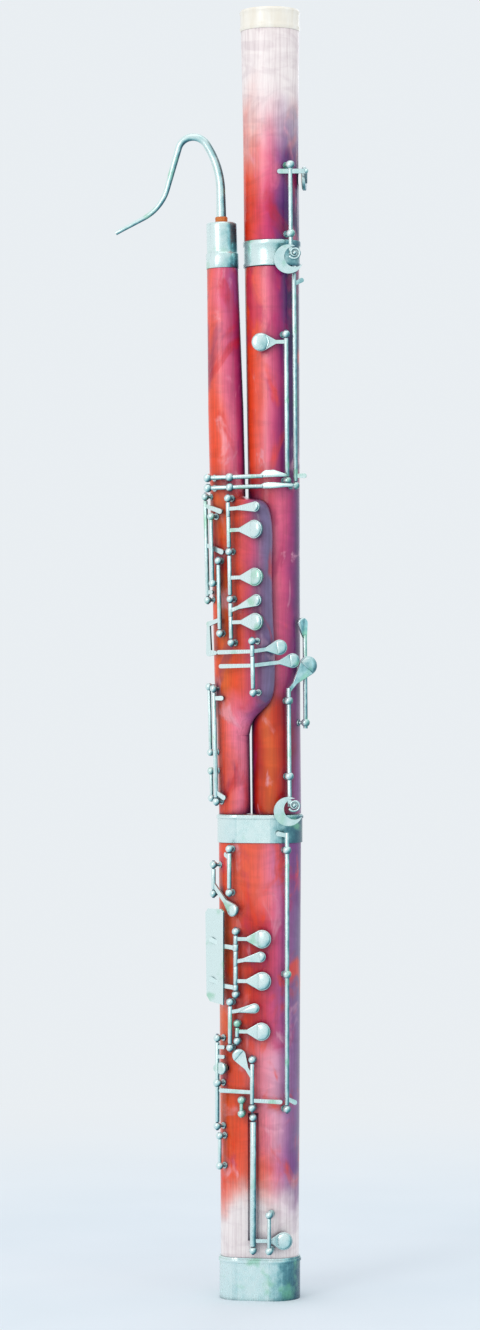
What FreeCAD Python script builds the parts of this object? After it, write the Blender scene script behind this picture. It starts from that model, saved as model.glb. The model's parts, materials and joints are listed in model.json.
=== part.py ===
"""Bassoon, standing upright on its boot cap: wood joints, bocal, and the keywork on its posts.

Units are millimetres. +Z runs up the instrument, X to the player-side right, -Y is the finger side (the front).
The origin is the middle of the boot cap's underside.

Three frames hold the parts. The boot frame is the row frame itself. The wing frame and the long frame
stand in the boot's two sockets, each leaning a little to -X, with their z counted from the boot's top.
Every key turns on a rod that runs parallel to its joint, and is held by ball-headed posts.
"""

import FreeCAD, Part

import math
import os

import Sketcher

V = FreeCAD.Vector
Z_AXIS = V(0, 0, 1)
doc = FreeCAD.newDocument("bassoon")
sheet = doc.addObject("Spreadsheet::Sheet", "Dims")
cell_count = 0


# ---------------------------------------------------------------- sizes kept in the sheet

class Size:
    """A number that knows the spreadsheet formula it comes from."""

    def __init__(self, value, text):
        self.value = value
        self.text = text

    def __float__(self):
        return float(self.value)

    def __add__(self, other):
        return Size(float(self) + float(other), f"({self.text} + {formula(other)})")

    def __radd__(self, other):
        return self + other

    def __sub__(self, other):
        return Size(float(self) - float(other), f"({self.text} - {formula(other)})")

    def __rsub__(self, other):
        return Size(float(other) - float(self), f"({formula(other)} - {self.text})")

    def __mul__(self, other):
        return Size(float(self) * float(other), f"({self.text} * {formula(other)})")

    def __rmul__(self, other):
        return self * other

    def __truediv__(self, other):
        return Size(float(self) / float(other), f"({self.text} / {formula(other)})")

    def __neg__(self):
        return Size(-float(self), f"(0 - {self.text})")


def formula(x):
    return x.text if isinstance(x, Size) else repr(float(x))


class Cells:
    """The sizes of one part of the instrument, each in a cell of its own named PREFIX_name."""

    def __init__(self, prefix, **values):
        global cell_count
        for name, value in values.items():
            cell_count += 1
            alias = f"{prefix}_{name}"
            sheet.set(f"A{cell_count}", alias)
            sheet.set(f"B{cell_count}", repr(float(value)))
            sheet.setAlias(f"B{cell_count}", alias)
            setattr(self, name, Size(float(value), f"Dims.{alias}"))
        sheet.recompute()


def bind(thing, **sizes):
    """Sets properties, and binds those that come from the sheet to its cells."""
    for name, size in sizes.items():
        setattr(thing, name, float(size))
        if isinstance(size, Size):
            thing.setExpression(name, size.text)
    return thing


# ---------------------------------------------------------------- driving dimensions

boot = Cells(
    "boot", height=502, top_straight=29, bottom_straight=44, wood_bottom=36,
    left_x=-20.5, left_radius=22.5, right_x=14.5, right_radius=28,
    taper=1.2, bore_left=7.6, bore_right=12, bore_bottom=8.5,
)
metal = Cells("metal", wall=1.4, cap_floor=2, ferrule_wall=1.5)
wing = Cells(
    "wing", length=614.5, foot_x=-25.7, lean=1.357, tenon=31, tenon_radius=11.5,
    low_radius=17, mid_radius=18.5, top_radius=16.3, ferrule_height=47.5, ferrule_radius=16.9,
    bore_top=5, bore_bottom=7.6, liner_wall=1.6, nose_x=34, nose_y=-33, nose_radius=10,
    fin_low=124, fin_high=318, receiver_radius=6.2,
)
bass = Cells(
    "bass", foot_x=17.2, lean=0.5, length=567.5, tenon=31, tenon_radius=18.2, low_radius=25.4,
    mid_radius=27, top_radius=28.4, bore_bottom=12.5, bore_top=16.5, top_tenon_radius=21,
)
bell = Cells(
    "bell", length=267, band_height=26.5, radius=28.8, mouth_radius=30.4, ring_height=22,
    ring_radius=31.6, bore_low=17, bore_mouth=21, ring_lip=3,
)
cork = Cells("cork", wall=1.5, length=24, start=3.5)
rod = Cells("rod", radius=2.3, axle_radius=1.3, guard_radius=1.9, axle_play=0.06, post_play=0.1, standoff=7.5, end_gap=0.4)
ball = Cells("ball", radius=4.0, big_radius=4.5, stem=1.8, foot_radius=3.4, foot_height=1.6, sink=0.7)
touch = Cells("touch", plate=2.4, arm=1.9, edge=0.7, cup_depth=3.3, pad_thick=1.8, pad_gap=3.4)

FRAMES = {
    "boot": FreeCAD.Placement(),
    "wing": FreeCAD.Placement(V(float(wing.foot_x), 0, float(boot.height)),
                              FreeCAD.Rotation(V(0, 1, 0), -float(wing.lean))),
    "bass": FreeCAD.Placement(V(float(bass.foot_x), 0, float(boot.height)),
                              FreeCAD.Rotation(V(0, 1, 0), -float(bass.lean))),
}
SHOULDER = 0.6
TOP_TENON = 28.0
LONG_CUTS = (-31.0, 0.6, 130.0, 265.0, 400.0, 507.0, 567.5, 595.5)
parts = {}
joints = []


def keep(thing, label, frame="boot"):
    """Makes thing a sub-part: its Label names its file and its Placement stands it in its frame."""
    thing.Label = label
    thing.Placement = FRAMES[frame].multiply(thing.Placement)
    parts[label] = thing
    return thing


# ---------------------------------------------------------------- sketches and plain solids

def pin_point(sketch, geo, point, x, y):
    """Fixes one point of a sketch at (x, y), bound to the sheet where they come from it."""
    for kind, other_axis, size in (("DistanceX", -2, x), ("DistanceY", -1, y)):
        value = float(size)
        if abs(value) < 1e-9:
            sketch.addConstraint(Sketcher.Constraint("PointOnObject", geo, point, other_axis))
            continue
        ends = (-1, 1, geo, point) if value > 0 else (geo, point, -1, 1)
        index = sketch.addConstraint(Sketcher.Constraint(kind, *ends, abs(value)))
        if isinstance(size, Size):
            sketch.setExpression(f"Constraints[{index}]", size.text if value > 0 else (-size).text)


def polygon(sketch, points):
    """A closed outline through the points, each fixed by its two sizes."""
    corners = [V(float(x), float(y), 0) for x, y in points]
    count = len(corners)
    for i in range(count):
        sketch.addGeometry(Part.LineSegment(corners[i], corners[(i + 1) % count]), False)
    for i in range(count):
        sketch.addConstraint(Sketcher.Constraint("Coincident", i, 2, (i + 1) % count, 1))
    for i, (x, y) in enumerate(points):
        pin_point(sketch, i, 1, x, y)


def round_hull(sketch, x0, y0, r0, x1, y1, r1):
    """The outline that wraps two circles: two arcs joined by their outer tangents."""
    ax, ay, ar, bx, by, br = (float(v) for v in (x0, y0, r0, x1, y1, r1))
    along = math.atan2(by - ay, bx - ax)
    lean = math.acos((ar - br) / math.hypot(bx - ax, by - ay))
    left, right = along + lean, along - lean

    def on(cx, cy, radius, angle):
        return V(cx + radius * math.cos(angle), cy + radius * math.sin(angle), 0)

    first = Part.Circle(V(ax, ay, 0), Z_AXIS, ar)
    second = Part.Circle(V(bx, by, 0), Z_AXIS, br)
    sketch.addGeometry(Part.ArcOfCircle(first, left, right + 2 * math.pi), False)
    sketch.addGeometry(Part.LineSegment(on(ax, ay, ar, left), on(bx, by, br, left)), False)
    sketch.addGeometry(Part.ArcOfCircle(second, right, left), False)
    sketch.addGeometry(Part.LineSegment(on(bx, by, br, right), on(ax, ay, ar, right)), False)
    for ends in ((0, 1, 1, 1), (1, 2, 2, 2), (2, 1, 3, 1), (3, 2, 0, 2)):
        sketch.addConstraint(Sketcher.Constraint("Tangent", *ends))
    for geo, x, y, radius in ((0, x0, y0, r0), (2, x1, y1, r1)):
        pin_point(sketch, geo, 3, x, y)
        index = sketch.addConstraint(Sketcher.Constraint("Radius", geo, float(radius)))
        if isinstance(radius, Size):
            sketch.setExpression(f"Constraints[{index}]", radius.text)


def flat_sketch(z=0):
    """A free sketch that lies level at height z."""
    sketch = doc.addObject("Sketcher::SketchObject", "Outline")
    sketch.Placement = FreeCAD.Placement(V(0, 0, float(z)), FreeCAD.Rotation())
    return sketch


def upright_sketch(x, y, heading):
    """A free sketch that stands on edge: its x runs along heading (degrees from +X), its y runs up."""
    a = math.radians(heading)
    sketch = doc.addObject("Sketcher::SketchObject", "Outline")
    turn = FreeCAD.Rotation(V(math.cos(a), math.sin(a), 0), Z_AXIS, V(math.sin(a), -math.cos(a), 0), "XYZ")
    sketch.Placement = FreeCAD.Placement(V(float(x), float(y), 0), turn)
    return sketch


def extruded(sketch, depth, both_ways=False):
    solid = doc.addObject("Part::Extrusion", "Plate")
    solid.Base = sketch
    solid.DirMode = "Normal"
    solid.Solid = True
    solid.Symmetric = both_ways
    return bind(solid, LengthFwd=depth)


def cylinder(radius, height, base, axis=Z_AXIS):
    """A cylinder from base, of the given height along axis."""
    solid = doc.addObject("Part::Cylinder", "Cylinder")
    bind(solid, Radius=radius, Height=height)
    solid.Placement = FreeCAD.Placement(base, FreeCAD.Rotation(Z_AXIS, axis))
    return solid


def cone(radius_low, radius_high, height, base):
    solid = doc.addObject("Part::Cone", "Cone")
    bind(solid, Radius1=radius_low, Radius2=radius_high, Height=height)
    solid.Placement = FreeCAD.Placement(base, FreeCAD.Rotation())
    return solid


def fused(solids):
    if len(solids) == 1:
        return solids[0]
    joined = doc.addObject("Part::MultiFuse", "Joined")
    joined.Shapes = solids
    return joined


def cut(solid, tools):
    result = doc.addObject("Part::Cut", "Cut")
    result.Base = solid
    result.Tool = fused(tools)
    return result


def group(solids):
    result = doc.addObject("Part::Compound", "Group")
    result.Links = solids
    return result


def turned(points):
    """A PartDesign body turned on a lathe: points are (radius, height) round its section."""
    body = doc.addObject("PartDesign::Body", "Turned")
    plane = next(f for f in body.Origin.OriginFeatures if f.Role == "XZ_Plane")
    sketch = body.newObject("Sketcher::SketchObject", "Section")
    sketch.AttachmentSupport = (plane, [""])
    sketch.MapMode = "FlatFace"
    polygon(sketch, points)
    spin = body.newObject("PartDesign::Revolution", "Turning")
    spin.Profile = sketch
    spin.ReferenceAxis = (sketch, ["V_Axis"])
    spin.Angle = 360
    body.Tip = spin
    return body


def oval(grow, shrink, z, height):
    """The boot's egg-shaped section as a plate: grow is added to its radii, shrink is its taper."""
    sketch = flat_sketch(z)
    round_hull(sketch, boot.left_x + shrink * 0.8, 0, boot.left_radius - shrink + grow,
               boot.right_x - shrink, 0, boot.right_radius - shrink + grow)
    return extruded(sketch, height)


# ---------------------------------------------------------------- wood joints and their metal

def make_boot(tone_holes):
    height, taper = boot.height, boot.taper
    low_end, high_start = boot.bottom_straight, boot.height - boot.top_straight
    sections = []
    for shrink, z in ((taper, low_end), (taper * 0, high_start)):
        sketch = flat_sketch(z)
        round_hull(sketch, boot.left_x + shrink * 0.8, 0, boot.left_radius - shrink,
                   boot.right_x - shrink, 0, boot.right_radius - shrink)
        sections.append(sketch)
    shaft = doc.addObject("Part::Loft", "Shaft")
    shaft.Sections = sections
    shaft.Solid = True
    shaft.Ruled = True
    top = oval(0, 0, high_start, boot.top_straight)
    bottom = oval(0, taper, boot.wood_bottom, boot.bottom_straight - boot.wood_bottom)
    floor_z, socket = float(boot.wood_bottom), float(wing.tenon) + 1
    left_x, right_x = float(boot.left_x) + 0.8 * float(taper), float(boot.right_x) - float(taper)
    run = float(height) - socket - floor_z
    bores = [cone(boot.bore_bottom, boot.bore_left, run, V(left_x, 0, floor_z)),
             cone(boot.bore_bottom, boot.bore_right, run, V(right_x, 0, floor_z))]
    for frame, radius in (("wing", wing.tenon_radius + cork.wall), ("bass", bass.tenon_radius + cork.wall)):
        socket_cut = cylinder(radius, 2 * socket, V(0, 0, 0))
        socket_cut.Placement = FRAMES[frame].multiply(FreeCAD.Placement(V(0, 0, -socket), FreeCAD.Rotation()))
        bores.append(socket_cut)
    channel = cylinder(GROOVE.radius, GROOVE.top - GROOVE.low, V(float(GROOVE.x), float(GROOVE.y), float(GROOVE.low)))
    return keep(cut(fused([shaft, top, bottom]), bores + [channel] + tone_holes), "boot_joint")


def make_boot_metal():
    band_z = boot.height - boot.top_straight
    band = cut(oval(metal.wall, 0, band_z, boot.top_straight),
               [oval(0, 0, band_z - 1, boot.top_straight + 2)])
    rim = cut(oval(metal.wall * 1.7, 0, boot.height - 4, 3), [oval(metal.wall * 0.5, 0, boot.height - 5, 5)])
    keep(fused([band, rim]), "boot_band")
    cap = cut(oval(metal.wall, boot.taper, 0, boot.bottom_straight),
              [oval(0, boot.taper, metal.cap_floor, boot.bottom_straight)])
    bead = cut(oval(metal.wall * 1.7, boot.taper, boot.bottom_straight - 5, 3),
               [oval(metal.wall * 0.5, boot.taper, boot.bottom_straight - 6, 5)])
    keep(fused([cap, bead]), "boot_cap")


def make_u_tube():
    """The bend under the wood that turns the bore back up, with the plate that it is soldered to."""
    left_x, right_x = boot.left_x + boot.taper * 0.8, boot.right_x - boot.taper
    middle = V(float(left_x + right_x) / 2, 0, float(boot.wood_bottom) - 2)
    bends = []
    for radius in (boot.bore_bottom + 1, boot.bore_bottom):
        bend = doc.addObject("Part::Torus", "Bend")
        bind(bend, Radius1=(right_x - left_x) / 2, Radius2=radius)
        bend.Angle3 = 180
        bend.Placement = FreeCAD.Placement(middle, FreeCAD.Rotation(V(1, 0, 0), -90))
        bends.append(bend)
    plate = oval(-2.5, boot.taper, boot.wood_bottom - 2, 2)
    holes = [cylinder(boot.bore_bottom, 4, V(float(x), 0, float(boot.wood_bottom) - 3)) for x in (left_x, right_x)]
    keep(fused([cut(bends[0], [bends[1]]), cut(plate, holes)]), "u_tube")


def make_wing(tone_holes):
    """The wing joint: a turned tube with the fin that carries the slanting finger holes."""
    length, tenon = wing.length, wing.tenon
    collar = length - wing.ferrule_height
    end = length - 14.5
    liner = wing.liner_wall
    bore_low, bore_high = wing.bore_bottom + liner, wing.bore_top + liner
    tube = turned([
        (bore_low, -tenon), (wing.tenon_radius, -tenon), (wing.tenon_radius, SHOULDER), (wing.low_radius, SHOULDER),
        (wing.low_radius, 120), (wing.mid_radius, 300), (wing.mid_radius, 420), (wing.top_radius, collar),
        (wing.top_radius - metal.ferrule_wall, collar), (wing.top_radius - metal.ferrule_wall, end),
        (bore_high, end),
    ])
    low, high = float(wing.fin_low), float(wing.fin_high)
    stations = [(low - 42, 0.09), (low - 31, 0.2), (low - 16, 0.6), (low, 0.93), (low + 16, 1.0), (low + 64, 1.0),
                (high - 60, 1.0), (high - 12, 1.0), (high, 0.9), (high + 8, 0.5), (high + 14, 0.09)]
    sections = []
    for z, reach in stations:
        sketch = flat_sketch(z)
        spare = 1.5 + 1.3 * (1 - reach)
        round_hull(sketch, 0, 0, wing.mid_radius - spare + 1.45 * (reach > 0.5),
                   wing.nose_x * reach, wing.nose_y * reach, wing.nose_radius + 4 * (1 - reach))
        sections.append(sketch)
    fin = doc.addObject("Part::Loft", "Fin")
    fin.Sections = sections
    fin.Solid = True
    fin.Ruled = False
    fin.MaxDegree = 3
    beside = cylinder(bass.low_radius + 2.2, float(length), V(0, 0, 0))
    beside.Placement = FRAMES["wing"].inverse().multiply(FRAMES["bass"])
    bore = cone(bore_low, bore_high, end + tenon, V(0, 0, -float(tenon)))
    keep(cut(fused([tube, fin]), [beside, bore] + tone_holes), "wing_joint", "wing")
    lining = turned([(wing.bore_bottom, -tenon), (bore_low, -tenon), (bore_high, end), (wing.bore_top, end)])
    return lining


def make_wing_ferrule():
    """The metal cap on the wing joint, with the receiver that the bocal's cork goes into."""
    length = wing.length
    low, step, shoulder = length - wing.ferrule_height, length - 32.5, length - 14.5
    inner, outer = wing.top_radius - metal.ferrule_wall, wing.ferrule_radius
    ferrule = turned([
        (inner, low), (outer, low), (outer, step), (outer - 1, step + 1.2), (outer - 1.1, length - 1.2),
        (outer - 2.2, length), (wing.receiver_radius, length), (wing.receiver_radius, shoulder), (inner, shoulder),
    ])
    keep(ferrule, "wing_ferrule", "wing")


def long_bore(z):
    """The long joint's bore radius at a height: it widens evenly from the lower tenon to the upper one."""
    foot = -float(bass.tenon)
    share = (z - foot) / (float(bass.length) + TOP_TENON - foot)
    return float(bass.bore_bottom) + share * (float(bass.bore_top) - float(bass.bore_bottom))


def make_long_joint(tone_holes):
    """The long joint, in lengths that meet face to face, so that each length's wall and bore stay true."""
    length, tenon = float(bass.length), float(bass.tenon)
    top = length + TOP_TENON
    outside = [(-tenon, bass.tenon_radius), (SHOULDER, bass.tenon_radius), (SHOULDER, bass.low_radius),
               (90, bass.low_radius), (350, bass.mid_radius), (length, bass.top_radius),
               (length, bass.top_tenon_radius), (top, bass.top_tenon_radius)]
    lengths = []
    for low, high in zip(LONG_CUTS[:-1], LONG_CUTS[1:]):
        wall = [(radius_at(outside, low, above=True), low)]
        wall += [(radius, z) for z, radius in outside if low < z < high]
        wall += [(radius_at(outside, high, above=False), high)]
        ring = turned([(long_bore(low), low), *wall, (long_bore(high), high)])
        lengths.append(cut(ring, tone_holes))
    keep(group(lengths), "long_joint", "bass")


def radius_at(profile, z, above):
    """The profile's radius at a height. At a step, above picks the radius on the upper side of it."""
    level = [radius for height, radius in profile if abs(height - z) < 1e-6]
    if level:
        return level[-1] if above else level[0]
    below = [point for point in profile if point[0] < z][-1]
    over = [point for point in profile if point[0] > z][0]
    share = (z - below[0]) / (over[0] - below[0])
    return float(below[1]) + share * (float(over[1]) - float(below[1]))


def make_bell(tone_holes):
    low = bass.length + 0.5
    socket = low + 29
    band, top = low + bell.band_height, low + bell.length
    rim = top - bell.ring_height
    inside = bass.top_tenon_radius + cork.wall
    neck = bell.radius - metal.wall
    wood = turned([
        (inside, low), (neck, low), (neck, band), (bell.radius, band), (bell.radius, band + 110),
        (bell.radius + 0.7, band + 165), (bell.mouth_radius, rim), (bell.mouth_radius - 3, rim),
        (bell.mouth_radius - 3, top - 4), (bell.bore_mouth, top - 4), (bell.bore_low, socket), (inside, socket),
    ])
    keep(cut(wood, tone_holes), "bell_joint", "bass")
    shell = turned([
        (neck, low), (bell.radius + 0.9, low), (bell.radius + 1.1, low + 3), (bell.radius + 0.3, low + 4.4),
        (bell.radius + 0.3, band - 6), (bell.radius + 1.2, band - 4.4), (bell.radius + 1.2, band), (neck, band),
    ])
    keep(shell, "bell_ferrule", "bass")
    ring = turned([
        (bell.mouth_radius - 3, rim), (bell.mouth_radius + 0.3, rim), (bell.ring_radius, rim + 3),
        (bell.ring_radius - 1, rim + 6), (bell.ring_radius - 0.9, top - 5), (bell.ring_radius, top - 2.5),
        (bell.ring_radius - 1.4, top), (bell.bore_mouth + 1, top), (bell.bore_mouth, top - 1.4),
        (bell.bore_mouth, top - 4), (bell.mouth_radius - 3, top - 4),
    ])
    keep(ring, "bell_ring", "bass")


def make_corks():
    """The cork sleeves on the three tenons."""
    sleeves = []
    for frame, radius, low in (("wing", wing.tenon_radius, -cork.length - cork.start),
                               ("bass", bass.tenon_radius, -cork.length - cork.start),
                               ("bass", bass.top_tenon_radius, bass.length + cork.start - 1)):
        high = low + cork.length
        sleeve = turned([(radius, low), (radius + cork.wall - 0.5, low), (radius + cork.wall, low + 2),
                         (radius + cork.wall, high - 2), (radius + cork.wall - 0.5, high), (radius, high)])
        sleeve.Placement = FRAMES[frame]
        sleeves.append(sleeve)
    keep(group(sleeves), "tenon_corks")


def make_strap_eye():
    """The eye for the neck strap's hook, on a foot at the back of the boot's band."""
    y = float(boot.right_radius) + float(metal.wall)
    x, z, reach = 4.0, float(boot.height) - 15, STRAP.reach
    thick = STRAP.thick
    eye = cylinder(STRAP.outer, thick, V(x - float(thick) / 2, y + float(reach), z), V(1, 0, 0))
    foot = doc.addObject("Part::Box", "Foot")
    bind(foot, Length=thick, Width=reach + 2.5, Height=STRAP.outer * 1.6)
    foot.Placement = FreeCAD.Placement(V(x - float(thick) / 2, y - 2.5, z - 0.8 * float(STRAP.outer)), FreeCAD.Rotation())
    hole = cylinder(STRAP.hole, thick + 2, V(x - float(thick) / 2 - 1, y + float(reach), z), V(1, 0, 0))
    clear = oval(metal.wall, 0, boot.height - 40, 38)
    keep(cut(fused([eye, foot]), [hole, clear]), "strap_eye")


# ---------------------------------------------------------------- bocal

def bocal_spine():
    """The bocal's centre line in the X-Z plane from its foot: a rise, a hook over, a fall and a reverse curve."""
    here, heading = V(0, 0, 0), 90.0
    edges = []
    moves = [(float(BOCAL.rise), 0), (float(BOCAL.shoulder_radius), 32), (float(BOCAL.crown_radius), 131),
             (float(BOCAL.fall), 0), (float(BOCAL.knee_radius), -46), (float(BOCAL.mouth), 0)]
    for size, turn in moves:
        a = math.radians(heading)
        if not turn:
            there = here + V(math.cos(a), 0, math.sin(a)) * size
            edges.append(Part.makeLine(here, there))
        else:
            side = 1 if turn > 0 else -1
            centre = here + V(-math.sin(a), 0, math.cos(a)) * (size * side)

            def swung(degrees):
                b = math.radians(heading + degrees - 90 * side)
                return centre + V(math.cos(b), 0, math.sin(b)) * size

            there = swung(turn)
            edges.append(Part.Arc(here, swung(turn / 2), there).toShape())
        here, heading = there, heading + turn
    a = math.radians(heading)
    return edges, here, V(math.cos(a), 0, math.sin(a))


def tapered_pipe(edges, start_radius, end_radius, tip, direction):
    """A pipe along the edges whose radius runs evenly from its start to its end."""
    sweep = Part.BRepOffsetAPI.MakePipeShell(Part.Wire(edges))
    sweep.setFrenetMode(True)
    sweep.add(Part.Wire(Part.makeCircle(start_radius, V(0, 0, 0), Z_AXIS)))
    sweep.add(Part.Wire(Part.makeCircle(end_radius, tip, direction)))
    sweep.build()
    sweep.makeSolid()
    return sweep.shape()


def make_bocal():
    """The crook: the sweep has no PartDesign feature that tapers along lines and arcs, so its Shape is set here."""
    edges, tip, direction = bocal_spine()
    outer = tapered_pipe(edges, float(BOCAL.foot_radius), float(BOCAL.tip_radius), tip, direction)
    inner = tapered_pipe(edges, float(BOCAL.foot_radius - BOCAL.wall), float(BOCAL.tip_radius - BOCAL.wall),
                         tip, direction)
    nose = Part.makeCylinder(float(BOCAL.tip_radius), float(BOCAL.tip_length), tip, direction)
    foot_depth = float(BOCAL.foot_depth)
    stub = Part.makeCylinder(float(BOCAL.foot_radius), foot_depth, V(0, 0, -foot_depth))
    hollow = Part.makeCylinder(float(BOCAL.tip_radius - BOCAL.wall), float(BOCAL.tip_length), tip, direction)
    hollow_foot = Part.makeCylinder(float(BOCAL.foot_radius - BOCAL.wall), foot_depth, V(0, 0, -foot_depth))
    shape = outer.fuse([nose, stub]).cut(inner).cut(hollow).cut(hollow_foot)
    pipe = doc.addObject("Part::Feature", "Bocal")
    pipe.Shape = shape
    lift = FreeCAD.Placement(V(0, 0, float(wing.length) + float(BOCAL.lift)), FreeCAD.Rotation())
    pipe.Label = "bocal"
    pipe.Placement = FRAMES["wing"].multiply(lift)
    parts["bocal"] = pipe
    radius = BOCAL.foot_radius
    sleeve = turned([
        (radius, wing.length - 13), (wing.receiver_radius - 0.02, wing.length - 13),
        (wing.receiver_radius - 0.02, wing.length + 0.6), (wing.receiver_radius + 0.3, wing.length + BOCAL.lift - 1.6),
        (wing.receiver_radius - 0.3, wing.length + BOCAL.lift - 0.6), (radius, wing.length + BOCAL.lift - 0.6),
    ])
    keep(sleeve, "bocal_cork", "wing")
    turn_centre = FRAMES["wing"].multVec(V(0, 0, float(wing.length)))
    turn_axis = FRAMES["wing"].Rotation.multVec(Z_AXIS)
    joints.append(dict(child="bocal", nodes=["bocal", "bocal_cork"], pos=turn_centre, axis=turn_axis,
                       low=-12, high=12, kind="friction"))
    end = pipe.Placement.multVec(tip + direction * float(BOCAL.tip_length))
    return end, pipe.Placement.Rotation.multVec(direction)


BOCAL = Cells(
    "bocal", foot_radius=5.2, tip_radius=2.1, tip_length=9, wall=0.8, rise=27, shoulder_radius=92,
    crown_radius=16, fall=44, knee_radius=50, mouth=24, foot_depth=13, lift=7,
)
STRAP = Cells("strap", outer=7.5, hole=4.5, thick=4, reach=7)
GROOVE = Cells("groove", radius=5.6, x=-7.5, y=-24.5, low=62, top=194)


# ---------------------------------------------------------------- rods, posts and keys

class Rod:
    """A line parallel to a joint's axis that keys turn about, at (x, y) in that joint's frame."""

    def __init__(self, frame, x, y, centre_x, radius):
        self.frame, self.x, self.y = frame, x, y
        self.centre = V(centre_x, 0, 0)
        self.radius = radius

    def inward(self):
        """Unit vector from the rod towards the middle of the round that its posts stand on."""
        return (self.centre - V(self.x, self.y, 0)).normalize()

    def height(self):
        return (self.centre - V(self.x, self.y, 0)).Length - self.radius


def round_rod(frame, x, centre_x, radius, standoff):
    """A rod in front of a round surface, at sideways place x and standing off it."""
    reach = float(radius) + float(standoff)
    return Rod(frame, x, -math.sqrt(reach**2 - (x - centre_x) ** 2), centre_x, float(radius))


def face_rod(frame, x, first, second, standoff):
    """A rod in front of the flat between two rounds, each (x, y, radius), of a wing's fin or the boot."""
    (ax, ay, ar), (bx, by, br) = first, second
    along = math.atan2(by - ay, bx - ax)
    lean = along - math.acos((ar - br) / math.hypot(bx - ax, by - ay))
    nx, ny = math.cos(lean), math.sin(lean)
    level = ax * nx + ay * ny + ar + float(standoff)
    made = Rod(frame, x, (level - nx * x) / ny, 0, 0)
    made.centre = V(made.x - nx * 40, made.y - ny * 40, 0)
    made.radius = 40 - float(standoff)
    made.heading = math.degrees(lean) + 90
    return made


class Built:
    """What the keywork has gathered: each joint's posts, the fixed steels in the key tubes and the guard rods."""

    posts = {"boot": [], "wing": [], "bass": []}
    axles = []
    guards = []


def add_post(where, z, through=False, hole=None):
    """A ball-headed post: the ball on the rod, a stem into the wood and a round foot."""
    inward, height = where.inward(), where.height()
    centre = V(where.x, where.y, z)
    head = doc.addObject("Part::Sphere", "Ball")
    bind(head, Radius=ball.big_radius if through else ball.radius)
    head.Placement = FreeCAD.Placement(centre, FreeCAD.Rotation())
    stem = cylinder(ball.stem, height + 3.0, centre, inward)
    foot = cylinder(ball.foot_radius, ball.foot_height, centre + inward * (height - 0.9), inward)
    hole_radius = hole or (rod.radius + rod.post_play if through else rod.axle_radius)
    hole = cylinder(hole_radius, 12, centre - V(0, 0, 6))
    Built.posts[where.frame].append(cut(fused([head, stem, foot]), [hole]))


def post_to_post(where, low, high, radius):
    """A plain rod that ends just inside the balls of the posts at low and high."""
    tip = float(ball.radius) - 0.3
    bar = cylinder(radius, high - low + 2 * tip, V(where.x, where.y, low - tip))
    bar.Placement = FRAMES[where.frame].multiply(bar.Placement)
    return bar


def add_axle(where, low, high):
    """A fixed steel that key tubes turn on."""
    Built.axles.append(post_to_post(where, low, high, rod.axle_radius))


def add_guard(where, low, high):
    """A fixed guard rod between two posts of its own."""
    add_post(where, low, hole=rod.guard_radius)
    add_post(where, high, hole=rod.guard_radius)
    Built.guards.append(post_to_post(where, low, high, rod.guard_radius))


def tube(where, low, high, radius=None):
    return cylinder(radius or rod.radius, high - low, V(where.x, where.y, low))


def arm(where, heading, z_from, reach, z_to, end_radius, start_radius=None, start=0.0):
    """A flat arm from the rod: a plate on edge that wraps a small round at the rod and one at its end."""
    sketch = upright_sketch(where.x, where.y, heading)
    round_hull(sketch, start, z_from, start_radius or touch.arm, reach, z_to, end_radius)
    return extruded(sketch, touch.plate, both_ways=True)


def eased(plate):
    """The plate with the edges of its outer face rounded."""
    plate.Base.recompute()
    plate.recompute()
    outward = plate.Base.Placement.Rotation.multVec(Z_AXIS)
    at = plate.Base.Placement.Base
    half = float(touch.plate) / 2
    edges = [i for i, e in enumerate(plate.Shape.Edges, 1)
             if all(abs((v.Point - at).dot(outward) - half) < 1e-4 for v in e.Vertexes)]
    rounded = doc.addObject("Part::Fillet", "Eased")
    rounded.Base = plate
    rounded.Edges = [(i, float(touch.edge), float(touch.edge)) for i in edges]
    return rounded


def spoon(where, heading, z_from, reach, z_to, head, waist=0.42):
    """A teardrop touch: a narrow arm as far as its waist, then a plate that swells to the round head."""
    waist_x, waist_z = reach * waist, z_from + (z_to - z_from) * waist
    return [arm(where, heading, z_from, waist_x, waist_z, touch.arm),
            eased(swelling(where, heading, waist_x, waist_z, reach, z_to, head))]


def swelling(where, heading, x0, z0, x1, z1, head):
    sketch = upright_sketch(where.x, where.y, heading)
    round_hull(sketch, x0, z0, touch.arm, x1, z1, head)
    return extruded(sketch, touch.plate, both_ways=True)


def under(where, heading, reach):
    """The point of the key plane at that reach along heading."""
    a = math.radians(heading)
    return V(where.x + reach * math.cos(a), where.y + reach * math.sin(a), 0)


def add_key(name, where, solids, bore_low, bore_high, press=6, sense=1, pads=(), axis=None, bored=True):
    """Keeps a key as one sub-part, with its pads and the joint that it turns on."""
    solid = fused(solids)
    if bored:
        solid = cut(solid, [cylinder(rod.axle_radius + rod.axle_play, bore_high - bore_low + 2,
                                     V(where.x, where.y, bore_low - 1))])
    keep(solid, name, where.frame)
    nodes = [name]
    for pad in pads:
        keep(pad, f"{name}_pad", where.frame)
        nodes.append(f"{name}_pad")
    place = FRAMES[where.frame]
    middle = V(where.x, where.y, (bore_low + bore_high) / 2)
    turn = place.Rotation.multVec(axis or Z_AXIS * sense)
    joints.append(dict(child=name, nodes=nodes, pos=place.multVec(middle), axis=turn, low=0, high=press,
                       kind="spring"))


def cup_and_pad(point, normal, radius):
    """The cup under a touch and the pad in it, over a tone hole's mouth at point, normal pointing outwards."""
    base = point + normal * (float(touch.pad_gap) + float(touch.pad_thick) * 0.4)
    cup = cylinder(radius, touch.cup_depth, base, normal)
    recess = cylinder(radius - 0.7, touch.pad_thick, point + normal * float(touch.pad_gap), normal)
    pad = cylinder(radius - 0.75, touch.pad_thick, point + normal * float(touch.pad_gap), normal)
    return cut(cup, [recess]), pad


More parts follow.
